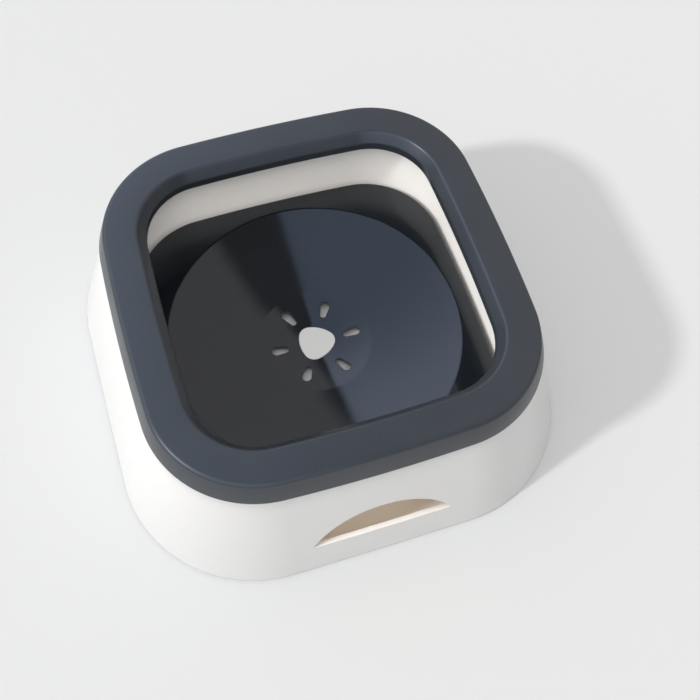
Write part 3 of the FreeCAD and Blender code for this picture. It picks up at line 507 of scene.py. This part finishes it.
studio = {
    "floorColor": (0.88, 0.88, 0.875),
    "floorSize": 6.0,
    "floorHeight": -0.02 * mm,            # just clear of the flat faces of the feet
    "floorRoughness": 0.75,
    "backdrop": (0.84, 0.84, 0.84),
    "skyBright": (0.84, 0.84, 0.84),
    "skyDim": (0.25, 0.25, 0.25),
    "brightSide": (-0.15, 0.06, 0.98),
    "skySpread": (-0.2, 1.0),             # from the dim to the bright side, as cosines
    "mirrorHigh": (0.66, 0.84, 1.16),     # the ceiling as glossy surfaces see it, straight up
    "mirrorLow": (1.30, 1.52, 2.00),      # and lower, towards the bright side
    "mirrorFar": (0.72, 0.71, 0.74),      # the plain side of the room
    "mirrorShade": 0.22,                  # the dim band between them
    "mirrorHeights": (0.97, 0.70),        # the next five are borders along the mirrored direction
    "mirrorFade": (0.05, 0.50, 0.30, 1.0),
    "mirrorEdge": (0.115, 0.145),
    "mirrorBack": (0.33, 0.41),
    "mirrorSlant": 0.30,
    "sunColor": (1.0, 1.0, 1.0),
    "sunStrength": 1.26,
    "sunAngle": 4.5,
    "sunFrom": (-0.813, -0.076, 0.577),
    "fillColor": (1.0, 0.945, 0.89),
    "fillPower": 0.97,
    "fillSize": (0.13, 0.16),
    "fillPlace": (-0.05, -0.02, 0.24),
    "fillAim": (0.45, 0.0, -1.0),
    "floatPower": 0.05,
    "glowColor": (1.0, 0.70, 0.42),
    "glowPower": 0.0068,
    "glowSize": (0.10, 0.006),
    "glowHeight": 0.035,
    "glowReach": 0.0945,                  # from the middle to the gap behind the front and back walls
    "glowDip": -0.5,
    "cameraPlace": (-0.0717, -0.2092, 0.4433),
    "cameraForward": (0.1784, 0.4115, -0.8938),
    "cameraRoll": 6.10,
    "cameraLens": 49.65,
    "cameraSensor": 36.0,
    "cameraNear": 0.01,
}


def makeFloor():
    size, height = studio["floorSize"] / 2, studio["floorHeight"]
    corners = [(-size, -size, height), (size, -size, height), (size, size, height), (-size, size, height)]
    mesh = bpy.data.meshes.new("studioFloor")
    mesh.from_pydata(corners, [], [(0, 1, 2, 3)])
    floor = bpy.data.objects.new("studioFloor", mesh)
    bpy.context.scene.collection.objects.link(floor)
    material = bpy.data.materials.new("paleFloor")
    material.use_nodes = True
    shader = material.node_tree.nodes["Principled BSDF"]
    shader.inputs["Base Color"].default_value = (*studio["floorColor"], 1.0)
    shader.inputs["Roughness"].default_value = studio["floorRoughness"]
    mesh.materials.append(material)
    return floor


def makeSky():
    world = bpy.data.worlds.new("studioSky")
    bpy.context.scene.world = world
    world.use_nodes = True
    tree = world.node_tree
    direction = addNode(tree, "ShaderNodeTexCoord").outputs["Generated"]
    side = addNode(tree, "ShaderNodeVectorMath", {"operation": "DOT_PRODUCT"})
    tree.links.new(direction, side.inputs[0])
    side.inputs[1].default_value = Vector(studio["brightSide"]).normalized()
    facing = addRamp(tree, side.outputs["Value"], *studio["skySpread"])
    soft = addMix(tree, facing, studio["skyDim"], studio["skyBright"])

    # what polished plastic mirrors: a wide cool ceiling light that ends along one edge
    parts = addNode(tree, "ShaderNodeSeparateXYZ", Vector=direction).outputs
    lower = addRamp(tree, parts["Z"], *studio["mirrorHeights"])
    fade = addRamp(tree, parts["Z"], *studio["mirrorFade"])
    panel = addMix(tree, lower, studio["mirrorHigh"], studio["mirrorLow"])
    crossed = addRamp(tree, parts["X"], *studio["mirrorEdge"])
    slant = addMath(tree, "MULTIPLY_ADD", parts["Y"], studio["mirrorSlant"], parts["X"])
    beyond = addRamp(tree, slant, *studio["mirrorBack"])
    shade = addMix(tree, beyond, tuple(studio["mirrorShade"] * tone for tone in studio["mirrorFar"]),
                   studio["mirrorFar"])
    mirrored = addMix(tree, crossed, panel, shade)
    mirrored = addMix(tree, 1.0, mirrored, fade, "MULTIPLY")

    rays = addNode(tree, "ShaderNodeLightPath").outputs
    seen = addMix(tree, rays["Is Glossy Ray"], soft, mirrored)
    seen = addMix(tree, rays["Is Camera Ray"], seen, studio["backdrop"])
    tree.links.new(seen, tree.nodes["Background"].inputs["Color"])


def makeSun():
    light = bpy.data.lights.new("windowLight", "SUN")
    light.energy = studio["sunStrength"]
    light.color = studio["sunColor"]
    light.angle = math.radians(studio["sunAngle"])
    lamp = bpy.data.objects.new("windowLight", light)
    lamp.rotation_euler = Vector(studio["sunFrom"]).to_track_quat("Z", "Y").to_euler()
    bpy.context.scene.collection.objects.link(lamp)


def makeLamp(name, place, aim, color, power, size, receivers):
    # a flat lamp, unseen itself, that lights only what it is meant for
    light = bpy.data.lights.new(name, "AREA")
    light.shape = "RECTANGLE"
    light.size, light.size_y = size
    light.energy = power
    light.color = color
    lamp = bpy.data.objects.new(name, light)
    lamp.location = place
    lamp.rotation_euler = (-Vector(aim)).to_track_quat("Z", "Y").to_euler()
    lamp.visible_camera = False
    lamp.visible_glossy = False
    bpy.context.scene.collection.objects.link(lamp)
    lit = bpy.data.collections.new(name + "Lit")
    for receiver in receivers:
        lit.objects.link(receiver)
    lamp.light_linking.receiver_collection = lit


def makeLamps(floor):
    # the fill lights the white basin, and the glow is the daylight that the thin white walls let through
    bowl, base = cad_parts["bowl_body"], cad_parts["float_base"]
    place, aim, color, size = (studio["fill" + word] for word in ("Place", "Aim", "Color", "Size"))
    makeLamp("fillLight", place, aim, color, studio["fillPower"], size, [bowl])
    makeLamp("floatLight", place, aim, color, studio["floatPower"], size, [base])
    for name, side in (("frontGlow", -1.0), ("backGlow", 1.0)):
        place = (0.0, side * studio["glowReach"], studio["glowHeight"])
        aim = (0.0, -side, studio["glowDip"])
        makeLamp(name, place, aim, studio["glowColor"], studio["glowPower"], studio["glowSize"], [bowl, floor])


def makeCamera():
    camera = bpy.data.cameras.new("photoCamera")
    camera.lens = studio["cameraLens"]
    camera.sensor_width = studio["cameraSensor"]
    camera.clip_start = studio["cameraNear"]
    view = bpy.data.objects.new("photoCamera", camera)
    forward = Vector(studio["cameraForward"]).normalized()
    right = forward.cross(Vector((0, 0, 1))).normalized()
    upward = right.cross(forward)
    roll = math.radians(studio["cameraRoll"])
    turned = Matrix((right * math.cos(roll) + upward * math.sin(roll),
                     upward * math.cos(roll) - right * math.sin(roll), -forward)).transposed()
    view.matrix_world = Matrix.Translation(studio["cameraPlace"]) @ turned.to_4x4()
    bpy.context.scene.collection.objects.link(view)
    bpy.context.scene.camera = view


floor = makeFloor()
makeSky()
makeSun()
makeLamps(floor)
makeCamera()
bpy.context.scene.view_settings.view_transform = "Standard"
print("studio ready")
